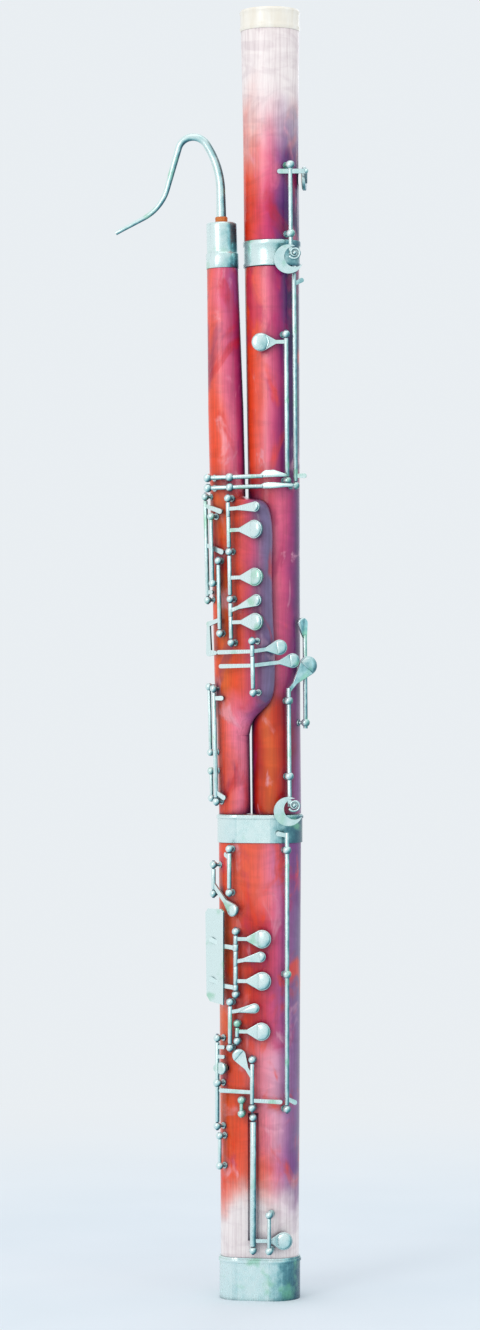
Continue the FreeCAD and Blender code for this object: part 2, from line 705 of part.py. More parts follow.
def tone_hole(point, toward, radius, depth):
    """A hole bored from the mouth at point towards another point."""
    direction = (toward - point).normalize()
    return cylinder(radius, depth + 3, point - direction * 3, direction)


holes = {"boot": [], "wing": [], "long": [], "bell": []}
FIN = ((0.0, 0.0, float(wing.mid_radius)), (float(wing.nose_x), float(wing.nose_y), float(wing.nose_radius)))
EGG = ((float(boot.left_x), 0.0, float(boot.left_radius)), (float(boot.right_x), 0.0, float(boot.right_radius)))
GAP = float(rod.end_gap)
BALL = float(ball.radius) + GAP


def padded_key(name, where, z, reach, head, low, high, hole_radius, toward, block, press=4.2):
    """A finger key over the flat of a joint: spoon, cup, pad and the tone hole below."""
    size = Cells(name, head=head, reach=reach, hole=hole_radius)
    spot = under(where, where.heading, reach)
    normal = V(math.sin(math.radians(where.heading)), -math.cos(math.radians(where.heading)), 0)
    mouth = spot - normal * float(rod.standoff) + V(0, 0, z)
    cup, pad = cup_and_pad(mouth, normal, size.head - 0.8)
    solids = [tube(where, low, high)] + spoon(where, where.heading, z, size.reach, z, size.head) + [cup]
    holes[block].append(tone_hole(mouth, V(toward[0], toward[1], z), size.hole, toward[2]))
    add_key(name, where, solids, low, high, press, 1, [pad])


def bare_key(name, where, z, reach, z_head, head, low, high, press=6, heading=None):
    """A touch with no pad of its own."""
    size = Cells(name, head=head, reach=reach)
    heading = where.heading if heading is None else heading
    solids = [tube(where, low, high)] + spoon(where, heading, z, size.reach, z_head, size.head, 0.3)
    add_key(name, where, solids, low, high, press, 1)


def make_wing_keys():
    stack = face_rod("wing", 0.0, *FIN, rod.standoff)
    for z in (327, 272, 223, 178):
        add_post(stack, z)
    add_axle(stack, 178, 327)
    hub = (0, 0, 43)
    bare_key("wing_upper_touch", stack, 316, 33.7, 317, 5.3, 308, 327 - BALL)
    padded_key("finger_key_1", stack, 294, 31.6, 9.6, 272 + BALL, 308 - GAP, 3.0, hub, "wing")
    padded_key("finger_key_2", stack, 245, 31.0, 9.4, 223 + BALL, 272 - BALL, 3.2, hub, "wing")
    bare_key("wing_lower_touch", stack, 211, 32, 221, 6.2, 205, 223 - BALL)
    padded_key("finger_key_3", stack, 199, 30.0, 9.0, 178 + BALL, 205 - GAP, 3.0, hub, "wing")
    make_wing_side(stack)
    make_thumb_levers()
    make_wing_links()
    make_cross_levers()


def make_wing_side(stack):
    radius = float(wing.mid_radius)
    side = round_rod("wing", -23.5, 0, radius, 7.0)
    for z in (330, 223):
        add_post(side, z)
    add_axle(side, 223, 330)
    heading = math.degrees(math.atan2(stack.y - side.y, stack.x - side.x))
    solids = [tube(side, 223 + BALL, 330 - BALL), arm(side, heading, 321, 21, 314, 2.6),
              arm(side, heading, 280, 22, 272, 2.6), arm(side, heading, 231, 6, 231, 2.2)]
    add_key("wing_side_key", side, solids, 223, 330, 4, -1)
    add_guard(round_rod("wing", -18.0, 0, radius, 9.0), 240, 309)
    inner = Rod("wing", -11.5, -22.8, 0, radius)
    for z in (263, 188):
        add_post(inner, z)
    add_axle(inner, 188, 263)
    away = 139.0
    crook = [tube(inner, 188 + BALL, 263 - BALL), arm(inner, away, 202, 15, 198, 2.6),
             swelling(inner, away, 15, 198, 15.5, 168, 3.4), arm(inner, away, 168, 15.5, 168, 3.4, 2.0, 6.0)]
    add_key("wing_crook_lever", inner, crook, 188, 263, 4, -1)


def make_thumb_levers():
    """Two see-saw levers on one steel in front of the fin, whose long arms cross to the long joint."""
    pivot = face_rod("wing", 21.3, *FIN, float(rod.standoff) + 2.9)
    for z in (179, 126):
        add_post(pivot, z)
    add_axle(pivot, 126, 179)
    left = pivot.heading + 180
    upper = [tube(pivot, 163.5, 179 - BALL), arm(pivot, left, 168.5, 41, 168.5, 2.2),
             *spoon(pivot, 10, 168.5, 28.5, 172, 8.0, 0.5)]
    add_key("thumb_lever_upper", pivot, upper, 163.5, 179 - BALL, 3.5, 1)
    lower = [tube(pivot, 126 + BALL, 163), arm(pivot, left, 154, 39, 154, 2.2),
             *spoon(pivot, 12, 154, 42, 158, 7.6, 0.66)]
    add_key("thumb_lever_lower", pivot, lower, 126 + BALL, 163, 3.5, 1)


def make_wing_links():
    """The rods down the wing joint's left flank: one key rod, and two fixed guard rods."""
    radius = float(wing.low_radius)
    link = round_rod("wing", -19.5, 0, radius, 7.5)
    for z in (131, 14):
        add_post(link, z)
    add_axle(link, 14, 131)
    solids = [tube(link, 14 + BALL, 131 - BALL), arm(link, -25, 121, 9, 121, 2.4), arm(link, -28, 24, 9, 18, 2.4)]
    add_key("wing_link_rod", link, solids, 14, 131, 4, 1)
    outer = round_rod("wing", -24.2, 0, radius, 8.0)
    for low, high in ((65, 133), (17.5, 45.6)):
        add_guard(outer, low, high)


def make_cross_levers():
    """Two levers that turn in posts on the wing joint and bridge across to the long joint."""
    heading, start_x, start_y = -13.2, -24.0, -20.0
    a = math.radians(heading)
    along = V(math.cos(a), math.sin(a), 0)
    for name, z, lift, paddle, link in (("upper_cross_lever", 349, 2.6, 3.4, 86),
                                        ("lower_cross_lever", 338.5, 0.6, 3.2, 93)):
        size = Cells(name, paddle=paddle, link=link)
        base = V(start_x, start_y, z)
        bar = cylinder(rod.radius, 62, base, along)
        sketch = upright_sketch(start_x, start_y, heading)
        round_hull(sketch, 60, z, 1.8, 66, z + lift, size.paddle)
        flare = extruded(sketch, touch.plate, both_ways=True)
        sketch = upright_sketch(start_x, start_y, heading)
        round_hull(sketch, 66, z + lift, size.paddle, 74, z + lift, size.paddle)
        blade = extruded(sketch, touch.plate, both_ways=True)
        sketch = upright_sketch(start_x, start_y, heading)
        round_hull(sketch, 74, z + lift, size.paddle * 0.6, size.link, z, 1.6)
        tail = extruded(sketch, touch.plate, both_ways=True)
        keep(fused([bar, flare, blade, tail]), name, "wing")
        for distance in (3.5, 27):
            spot = base + along * distance
            inward = (V(0, 0, z) - spot).normalize()
            height = V(spot.x, spot.y, 0).Length - float(wing.mid_radius)
            head = doc.addObject("Part::Sphere", "Ball")
            bind(head, Radius=ball.big_radius)
            head.Placement = FreeCAD.Placement(spot, FreeCAD.Rotation())
            stem = cylinder(ball.stem, height + 3.0, spot, inward)
            foot = cylinder(ball.foot_radius, ball.foot_height, spot + inward * (height - 0.9), inward)
            hole = cylinder(rod.radius + rod.post_play, 12, spot - along * 6, along)
            Built.posts["wing"].append(cut(fused([head, stem, foot]), [hole]))
        place = FRAMES["wing"]
        joints.append(dict(child=name, nodes=[name], pos=place.multVec(base), axis=place.Rotation.multVec(along),
                           low=0, high=7, kind="spring"))


def crescent(where, heading, centre_x, centre_z, radius, level):
    """The moon-shaped clutch that passes a rod's turn to the rod below, with its scroll, on a level plate."""
    a = math.radians(heading)
    out = V(math.sin(a), -math.cos(a), 0)
    across = V(math.cos(a), math.sin(a), 0)
    at = V(where.x, where.y, centre_z) + across * centre_x + out * level
    disc = cylinder(radius, touch.plate, at, out)
    bite = cylinder(radius * 0.72, touch.plate + 4, at + across * (float(radius) * 0.42) + V(0, 0, 2.4) - out * 2, out)
    scroll_at = at + across * (float(radius) * 0.42) + V(0, 0, float(radius) * 0.42)
    scroll = cylinder(ball.radius, touch.plate, scroll_at, out)
    eye = cylinder(1.3, touch.plate + 4, scroll_at - out * 2, out)
    return cut(fused([cut(disc, [bite]), scroll]), [eye]), out


def make_long_keys():
    mid = float(bass.mid_radius)
    key_rod = round_rod("bass", 13.6, 0, mid + 0.8, 9.0)
    for z in (496, 345):
        add_post(key_rod, z)
    add_axle(key_rod, 345, 496)
    size = Cells("long_key", head=9.4, hole=5.5, pad_angle=-20.7)
    turn = math.radians(float(size.pad_angle))
    normal = V(math.sin(turn), -math.cos(turn), 0)
    surface = normal * (mid + 0.95) + V(0, 0, 488)
    cup, pad = cup_and_pad(surface, normal, size.head - 0.8)
    aim = surface + normal * float(rod.standoff)
    heading = math.degrees(math.atan2(aim.y - key_rod.y, aim.x - key_rod.x))
    reach = math.hypot(aim.y - key_rod.y, aim.x - key_rod.x)
    solids = [tube(key_rod, 345 + BALL, 496 - BALL), cup, *reversed_spoon(key_rod, heading, 488, reach, 488, size.head)]
    holes["long"].append(tone_hole(surface, V(0, 0, 488), size.hole, 16))
    add_key("long_joint_key", key_rod, solids, 345, 496, 4.2, -1, [pad])

    link = round_rod("bass", 22.3, 0, mid + 0.8, 9.0)
    for z in (563, 340):
        add_post(link, z)
    add_axle(link, 340, 563)
    solids = [tube(link, 340 + BALL, 563 - BALL), arm(link, 15, 548, 8, 552, 2.4), arm(link, -8, 350, 9, 350, 2.4)]
    add_key("bell_link_rod", link, solids, 340, 563, 5, 1)
    make_bell_key()
    make_right_hand_keys()


def reversed_spoon(where, heading, z_from, reach, z_to, head):
    """A spoon whose outer face is on the other side of its sketch, for a touch that runs to the left."""
    waist_x, waist_z = reach * 0.42, z_from + (z_to - z_from) * 0.42
    return [arm(where, heading, z_from, waist_x, waist_z, touch.arm),
            swelling(where, heading, waist_x, waist_z, reach, z_to, head)]


def make_bell_key():
    """The bell key: its rod turns in two through posts, its cup stops the hole in the bell's right side."""
    radius = float(bell.radius)
    turner = round_rod("bass", 19.3, 0, radius, 9.0)
    for z in (671, 600):
        add_post(turner, z, through=True)
    size = Cells("bell_key", head=13, hole=8.5, pad_angle=84)
    turn = math.radians(float(size.pad_angle))
    normal = V(math.sin(turn), -math.cos(turn), 0)
    z = 660.0
    surface = normal * (radius + 0.05) + V(0, 0, z)
    cup, pad = cup_and_pad(surface, normal, size.head - 0.6)
    back = surface + normal * (float(touch.pad_gap) + 4.2)
    bar = arm(turner, 0, z + 4, 16.5, z + 4, 2.4, 2.4, -11)
    corner = V(turner.x + 16.5, turner.y, 0)
    heading = math.degrees(math.atan2(back.y - corner.y, back.x - corner.x))
    reach = math.hypot(back.y - corner.y, back.x - corner.x)
    elbow = Rod("bass", corner.x, corner.y, 0, radius)
    sweep = arm(elbow, heading, z + 4, reach, z, 5.0, 2.4)
    moon, out = crescent(turner, 0, -2.5, 573, 15, 3.4)
    web = cylinder(2.2, 6.5, V(turner.x, turner.y, 583), out)
    solids = [tube(turner, 578, 673.5), bar, sweep, cup, moon, web]
    holes["bell"].append(tone_hole(surface, V(0, 0, z), size.hole, 18))
    add_key("bell_key", turner, solids, 578, 673, 6, 1, [pad], bored=False)


def make_right_hand_keys():
    """The two touches at the long joint's lower right, and the clutch that works the boot's long rod."""
    low = float(bass.low_radius)
    outer = round_rod("bass", 30.5, 0, low + 0.3, 8.0)
    for z in (95, 150):
        add_post(outer, z, through=True)
    heading = 25.0
    tall = [tube(outer, 89, 186), arm(outer, heading, 183, -2.6, 198, 5.6, 2.0)]
    add_key("side_touch_key", outer, tall, 89, 186, 6, 1, bored=False)

    main = round_rod("bass", 13.1, 0, low + 0.3, 8.0)
    for z in (118, 40):
        add_post(main, z, through=True)
    moon, out = crescent(main, 0, -1.5, 4, 15, 3.4)
    web = cylinder(2.2, 6.5, V(main.x, main.y, 14), out)
    solids = [tube(main, 9, 131), *spoon(main, 22, 128, 22, 154, 9.8, 0.3), moon, web]
    add_key("great_spatula_key", main, solids, 9, 131, 5, 1, bored=False)


def make_boot_keys():
    left, left_radius = float(boot.left_x), float(boot.left_radius)
    right, right_radius = float(boot.right_x), float(boot.right_radius)
    deep = (left, 0, 26)
    stack = face_rod("boot", -25.5, *EGG, rod.standoff)
    for z in (382, 317):
        add_post(stack, z)
    add_axle(stack, 317, 382)
    padded_key("finger_key_4", stack, 374.4, 27.6, 9.6, 369, 382 - BALL, 4.0, deep, "boot")
    bare_key("boot_upper_touch", stack, 351, 26, 356, 5.6, 346.5, 361.5)
    padded_key("finger_key_5", stack, 331, 27.6, 9.6, 327, 346.5 - GAP, 4.4, deep, "boot")
    make_guard_plate(stack)

    lower = Rod("boot", -31.2, face_rod("boot", -31.2, *EGG, rod.standoff).y, left, left_radius)
    lower.heading = stack.heading
    for z in (309, 262):
        add_post(lower, z)
    add_axle(lower, 262, 309)
    bare_key("boot_lower_touch", lower, 299, 25.5, 303, 5.2, 262 + BALL, 309 - BALL)
    short = face_rod("boot", -24.0, *EGG, rod.standoff)
    for z in (287, 269):
        add_post(short, z)
    add_axle(short, 269, 287)
    padded_key("finger_key_6", short, 279, 25.4, 9.4, 269 + BALL, 287 - BALL, 4.6, deep, "boot")

    make_pancake()
    make_left_flank()
    make_low_key(right, right_radius)
    main = round_rod("boot", 27.5, right, right_radius - 0.4, 8.0)
    add_post(main, 466, through=True)
    add_post(main, 338, through=True)
    add_post(main, 199)
    add_axle(main, 199, 466)
    solids = [tube(main, 199 + BALL, 484), arm(main, 178, 481, 9, 483, 2.4), arm(main, 8, 210, 8, 206, 2.4)]
    add_key("boot_link_rod", main, solids, 199, 484, 5, 1)
    for x, low, high in ((-19.6, 194, 208), (9.0, 54, 91)):
        add_guard(face_rod("boot", x, *EGG, 15.2 if low < 100 else rod.standoff), low, high)


def make_guard_plate(stack):
    """The long plate on the boot's left flank, on two wavy arms that turn on the finger keys' steel."""
    size = Cells("guard_plate", low=306, high=405, width=23, thick=2.2)
    heading, middle = 143.0, V(-47, -21, 0)
    a = math.radians(heading)
    along = V(math.cos(a), math.sin(a), 0)
    out = V(-math.sin(a), math.cos(a), 0) * -1
    if out.y > 0:
        out = out * -1
    corner = middle - along * (float(size.width) / 2)
    sketch = doc.addObject("Sketcher::SketchObject", "Outline")
    sketch.Placement = FreeCAD.Placement(corner, FreeCAD.Rotation(along, Z_AXIS, V(along.y, -along.x, 0), "XYZ"))
    width, low, high = size.width, size.low, size.high
    polygon(sketch, [(0, low), (width - 6, low + 3), (width - 1.5, low + 9), (width, high - 4),
                     (width - 3, high), (3, high), (0, high - 3)])
    plate = extruded(sketch, size.thick, both_ways=True)
    arms = []
    for z in (365, 324):
        target = middle + out * 2.0 + along * 3
        angle = math.degrees(math.atan2(target.y - stack.y, target.x - stack.x))
        reach = math.hypot(target.y - stack.y, target.x - stack.x)
        arms += [arm(stack, angle, z, reach * 0.45, z + 1.5, 2.2, 2.2),
                 swelling(stack, angle, reach * 0.45, z + 1.5, reach, z + 8, 2.6)]
    rings = [tube(stack, 362, 369 - GAP, 3.0), tube(stack, 317 + BALL, 327 - GAP, 3.0)]
    add_key("guard_plate_key", stack, [plate] + arms + rings, 317, 382, 4, -1)


def make_pancake():
    """The pancake key: an oval touch for the thumb, with an arm to each side of the boot."""
    pivot = face_rod("boot", -8.5, *EGG, 8.0)
    for z in (250, 200):
        add_post(pivot, z)
    add_axle(pivot, 200, 250)
    solids = [tube(pivot, 200 + BALL, 250 - BALL),
              *reversed_spoon(pivot, 170, 232, 13.6, 254, 7.0),
              arm(pivot, 166, 216.5, 33, 217.5, 2.2), arm(pivot, pivot.heading, 208, 29.5, 207, 2.2)]
    add_key("pancake_key", pivot, solids, 200, 250, 3, -1)


def make_left_flank():
    left, radius = float(boot.left_x), float(boot.left_radius)
    flank = round_rod("boot", -44.5, left, radius - 0.4, 8.4)
    add_post(flank, 271)
    add_post(flank, 224.6, through=True)
    add_post(flank, 180)
    add_axle(flank, 180, 271)
    size = Cells("oval_key", head=6.4, hole=3.4, pad_angle=-41.5)
    turn = math.radians(float(size.pad_angle))
    normal = V(math.sin(turn), -math.cos(turn), 0)
    mouth = V(left, 0, 240) + normal * (radius - 0.3)
    cup, pad = cup_and_pad(mouth, normal, size.head - 0.6)
    aim = mouth + normal * float(rod.standoff)
    heading = math.degrees(math.atan2(aim.y - flank.y, aim.x - flank.x))
    reach = math.hypot(aim.y - flank.y, aim.x - flank.x)
    solids = [tube(flank, 180 + BALL, 271 - BALL), cup, arm(flank, heading, 240, reach, 240, size.head, 4.5),
              arm(flank, -36, 262, 8, 262, 2.0), arm(flank, -36, 252, 8, 252, 2.0)]
    holes["boot"].append(tone_hole(mouth, V(left, 0, 240), size.hole, 14))
    add_key("oval_pad_key", flank, solids, 180, 271, 4, 1, [pad])
    add_guard(round_rod("boot", -42.0, left, radius - 0.8, 7.5), 139, 170)

    link = round_rod("boot", -32.0, left, radius, 8.5)
    for z in (467, 422):
        add_post(link, z)
    add_axle(link, 422, 467)
    solids = [tube(link, 422 + BALL, 467 - BALL), arm(link, 120, 458, 7, 461, 2.4)]
    add_key("boot_upper_link_rod", link, solids, 422, 467, 4, 1)

    side = round_rod("boot", -48.5, left, radius, 8.0)
    for z in (450, 420):
        add_post(side, z)
    add_axle(side, 420, 450)
    size = Cells("side_pad_key", head=6.6, hole=3.4, pad_angle=-15.5)
    turn = math.radians(float(size.pad_angle))
    normal = V(math.sin(turn), -math.cos(turn), 0)
    mouth = V(left, 0, 404) + normal * (radius - 0.05)
    cup, pad = cup_and_pad(mouth, normal, size.head - 0.6)
    aim = mouth + normal * float(rod.standoff)
    heading = math.degrees(math.atan2(aim.y - side.y, aim.x - side.x))
    reach = math.hypot(aim.y - side.y, aim.x - side.x)
    solids = [tube(side, 420 + BALL, 450 - BALL), cup, arm(side, heading, 430, reach * 0.6, 413, 2.2, 2.2),
              swelling(side, heading, reach * 0.6, 413, reach, 404, size.head)]
    holes["boot"].append(tone_hole(mouth, V(left, 0, 404), size.hole, 14))
    add_key("boot_side_key", side, solids, 420, 450, 5, 1, [pad])


def make_low_key(right, right_radius):
    """The low key: a stout tube in the boot's channel, with an arm across to its cup near the cap."""
    pivot = Rod("boot", float(GROOVE.x), -30.6, float(GROOVE.x), 20.0)
    for z in (190, 53):
        add_post(pivot, z)
    add_axle(pivot, 53, 190)
    size = Cells("low_key", head=9.2, hole=7.0, pad_angle=18, tube=3.2)
    turn = math.radians(float(size.pad_angle))
    normal = V(math.sin(turn), -math.cos(turn), 0)
    radius = right_radius - float(boot.taper)
    mouth = V(right - float(boot.taper), 0, 63) + normal * (radius + 0.1)
    cup, pad = cup_and_pad(mouth, normal, size.head - 0.8)
    aim = mouth + normal * float(rod.standoff)
    heading = math.degrees(math.atan2(aim.y - pivot.y, aim.x - pivot.x))
    reach = math.hypot(aim.y - pivot.y, aim.x - pivot.x)
    solids = [tube(pivot, 53 + BALL, 190 - BALL, size.tube), cup,
              *spoon(pivot, heading, 63, reach, 63, size.head, 0.6)]
    holes["boot"].append(tone_hole(mouth, V(right - float(boot.taper), 0, 63), size.hole, 14))
    add_key("low_key", pivot, solids, 53, 190, 4, 1, [pad])


# ---------------------------------------------------------------- assembly

def build():
    make_wing_keys()
    make_long_keys()
    make_boot_keys()
    make_boot(holes["boot"])
    make_boot_metal()
    make_u_tube()
    lining = make_wing(holes["wing"])
    keep(cut(lining, holes["wing"]), "wing_bore_liner", "wing")
    make_wing_ferrule()
    make_long_joint(holes["long"])
    make_bell(holes["bell"])
    make_corks()
    make_strap_eye()
    tip = make_bocal()
    for frame, label in (("wing", "wing_posts"), ("bass", "long_joint_posts"), ("boot", "boot_posts")):
        keep(group(Built.posts[frame]), label, frame)
    keep(group(Built.axles), "key_axles")
    keep(group(Built.guards), "guard_rods")
    doc.recompute()
    return tip


def check():
    """Stops if any object failed, or any sub-part has no valid shape."""
    broken = [o.Name for o in doc.Objects if "Invalid" in o.State or "Error" in o.State]
    if broken:
        raise RuntimeError(f"these objects failed: {broken}")
    for label, thing in parts.items():
        if thing.Shape.isNull() or not thing.Shape.isValid() or not thing.Shape.Solids:
            raise RuntimeError(f"{label} has no valid solid")


bocal_tip, bocal_direction = build()
check()
os.makedirs("parts", exist_ok=True)
for label, thing in parts.items():
    thing.Shape.exportStep(f"parts/{label}.step")
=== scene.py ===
"""Bassoon: stained maple joints, silver-plated keywork, leather pads and an ivory-white bell ring.

All lengths are in metres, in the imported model's frame: +Z is up the instrument and -Y is its keyed front.
"""

import json
import math

import bmesh
import bpy
from mathutils import Matrix, Vector


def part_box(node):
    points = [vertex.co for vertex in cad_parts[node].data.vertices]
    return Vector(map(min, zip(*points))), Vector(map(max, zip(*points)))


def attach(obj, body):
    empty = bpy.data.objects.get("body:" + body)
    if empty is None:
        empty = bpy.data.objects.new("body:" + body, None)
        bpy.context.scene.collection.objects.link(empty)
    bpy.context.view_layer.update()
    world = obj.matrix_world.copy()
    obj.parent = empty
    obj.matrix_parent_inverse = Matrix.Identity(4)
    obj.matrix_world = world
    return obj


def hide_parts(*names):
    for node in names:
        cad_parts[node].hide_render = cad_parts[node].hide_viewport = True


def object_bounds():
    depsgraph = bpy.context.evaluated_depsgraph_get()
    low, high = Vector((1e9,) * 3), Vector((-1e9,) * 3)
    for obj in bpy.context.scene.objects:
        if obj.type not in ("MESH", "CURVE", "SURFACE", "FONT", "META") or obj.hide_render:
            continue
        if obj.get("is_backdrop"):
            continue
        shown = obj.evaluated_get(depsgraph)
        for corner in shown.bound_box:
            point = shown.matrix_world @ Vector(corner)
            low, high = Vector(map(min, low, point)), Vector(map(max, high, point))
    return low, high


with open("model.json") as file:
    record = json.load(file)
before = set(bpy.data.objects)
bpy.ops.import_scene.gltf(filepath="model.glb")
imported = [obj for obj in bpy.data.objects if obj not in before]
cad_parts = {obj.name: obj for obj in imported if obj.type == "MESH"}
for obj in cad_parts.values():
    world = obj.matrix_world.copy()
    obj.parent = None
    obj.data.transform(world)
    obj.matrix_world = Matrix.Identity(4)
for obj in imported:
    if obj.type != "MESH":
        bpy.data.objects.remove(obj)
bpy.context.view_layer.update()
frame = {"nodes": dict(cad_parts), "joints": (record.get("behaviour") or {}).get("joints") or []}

NODES = frame["nodes"]
MM = 0.001
HINGES = {j["child"]: j for j in frame["joints"]}


def corners(node):
    """Lowest and highest corner of a CAD node."""
    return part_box(node)


def rgb(red, green, blue):
    """A display colour of 0 to 255 levels as linear values."""
    levels = [c / 255 for c in (red, green, blue)]
    return [c / 12.92 if c <= 0.04045 else ((c + 0.055) / 1.055) ** 2.4 for c in levels] + [1.0]


# ---------------------------------------------------------------- material helpers

class Shader:
    """A node material in the making: each method adds a node and returns the socket with its result."""

    def __init__(self, name):
        self.material = bpy.data.materials.new(name)
        self.material.use_nodes = True
        self.tree = self.material.node_tree
        self.surface = self.tree.nodes["Principled BSDF"]
        self.place = self.tree.nodes.new("ShaderNodeTexCoord")
        self.object = self.place.outputs["Object"]
        split = self.tree.nodes.new("ShaderNodeSeparateXYZ")
        self.tree.links.new(self.object, split.inputs[0])
        self.x, self.y, self.z = split.outputs

    def put(self, socket, value):
        if isinstance(value, bpy.types.NodeSocket):
            self.tree.links.new(value, socket)
        else:
            socket.default_value = value

    def math(self, operation, a, b=0.0, clamp=False):
        node = self.tree.nodes.new("ShaderNodeMath")
        node.operation = operation
        node.use_clamp = clamp
        self.put(node.inputs[0], a)
        self.put(node.inputs[1], b)
        return node.outputs[0]

    def span(self, value, low, high, to_low=0.0, to_high=1.0):
        """value eased from low..high to to_low..to_high, held at both ends."""
        node = self.tree.nodes.new("ShaderNodeMapRange")
        node.interpolation_type = "SMOOTHSTEP"
        self.put(node.inputs[0], value)
        for socket, number in zip(node.inputs[1:5], (low, high, to_low, to_high)):
            socket.default_value = number
        return node.outputs[0]

    def noise(self, scale, detail=3.0, stretch=(1, 1, 1), distortion=0.0, roughness=0.5):
        """Noise in the object's own space; scale is in cells per metre."""
        mapping = self.tree.nodes.new("ShaderNodeMapping")
        mapping.inputs["Scale"].default_value = stretch
        self.tree.links.new(self.object, mapping.inputs[0])
        node = self.tree.nodes.new("ShaderNodeTexNoise")
        self.tree.links.new(mapping.outputs[0], node.inputs["Vector"])
        node.inputs["Scale"].default_value = scale
        node.inputs["Detail"].default_value = detail
        node.inputs["Roughness"].default_value = roughness
        node.inputs["Distortion"].default_value = distortion
        return node.outputs[0]

    def ramp(self, factor, stops, interpolation="B_SPLINE"):
        node = self.tree.nodes.new("ShaderNodeValToRGB")
        ramp = node.color_ramp
        ramp.interpolation = interpolation
        while len(ramp.elements) < len(stops):
            ramp.elements.new(0.5)
        for element, (at, colour) in zip(ramp.elements, stops):
            element.position = at
            element.color = colour
        self.put(node.inputs[0], factor)
        return node.outputs[0]

    def mix(self, factor, a, b, blend="MIX"):
        node = self.tree.nodes.new("ShaderNodeMix")
        node.data_type = "RGBA"
        node.blend_type = blend
        self.put(node.inputs[0], factor)
        self.put(node.inputs[6], a)
        self.put(node.inputs[7], b)
        return node.outputs[2]

    def bump(self, height, distance, strength=1.0):
        node = self.tree.nodes.new("ShaderNodeBump")
        node.inputs["Strength"].default_value = strength
        node.inputs["Distance"].default_value = distance
        self.put(node.inputs["Height"], height)
        self.put(self.surface.inputs["Normal"], node.outputs[0])

    def crevice(self, distance):
        """1 in the open, falling towards 0 where something stands close by; the wood and the silver use it
        to mask painted shade.
        """
        node = self.tree.nodes.new("ShaderNodeAmbientOcclusion")
        node.samples = 6
        node.inputs["Distance"].default_value = distance
        return node.outputs["AO"]

    def facing(self, direction):
        """How far the surface's own normal points along a direction of the object's space, from -1 to 1."""
        node = self.tree.nodes.new("ShaderNodeVectorMath")
        node.operation = "DOT_PRODUCT"
        self.tree.links.new(self.place.outputs["Normal"], node.inputs[0])
        node.inputs[1].default_value = Vector(direction).normalized()
        return node.outputs["Value"]

    def finish(self, colour=None, **values):
        if colour is not None:
            self.put(self.surface.inputs["Base Color"], colour)
        for name, value in values.items():
            self.put(self.surface.inputs[name.replace("_", " ")], value)
        return self.material


# ---------------------------------------------------------------- stained maple, with painted highlight and shade

ORANGE = rgb(250, 84, 10)
RED = rgb(222, 26, 12)
DEEP_RED = rgb(128, 10, 26)
SALMON = rgb(250, 118, 84)
PINK = rgb(250, 150, 176)
PALE_PINK = rgb(252, 206, 220)
ROSE = rgb(232, 84, 138)
MAGENTA = rgb(206, 40, 120)
MAUVE = rgb(176, 112, 176)
PURPLE = rgb(110, 44, 134)
NAVY = rgb(30, 38, 92)
GREY_VIOLET = rgb(140, 126, 164)
AMBER = rgb(236, 134, 60)
BLEACHED = rgb(252, 244, 242)
WHITE = rgb(255, 255, 255)


def across(shader, left, right, lean=0.0, foot_z=0.0):
    """Place across a joint from its left edge, 0, to its right edge, 1, following the joint's lean. The
    colours laid along it hold a painted highlight and painted shade as well as the stain.
    """
    sway = shader.noise(14, 3, (1, 1, 0.55), 0.4)
    drift = shader.math("MULTIPLY", shader.math("SUBTRACT", sway, 0.5), 0.030)
    slope = shader.math("MULTIPLY", shader.math("SUBTRACT", shader.z, foot_z), math.tan(lean))
    place = shader.math("ADD", shader.math("ADD", shader.x, slope), drift)
    return shader.math("DIVIDE", shader.math("SUBTRACT", place, left), right - left)


def zone(shader, low, high, soft=0.02):
    """1 between two heights, with a wavering soft edge."""
    waver = shader.math("MULTIPLY", shader.math("SUBTRACT", shader.noise(30, 2), 0.5), 2.2 * soft)
    level = shader.math("ADD", shader.z, waver)
    rising = shader.span(level, low - soft, low + soft)
    falling = shader.span(level, high - soft, high + soft, 1.0, 0.0)
    return shader.math("MULTIPLY", rising, falling)


def even_stops(colours):
    return [(i / (len(colours) - 1), c) for i, c in enumerate(colours)]


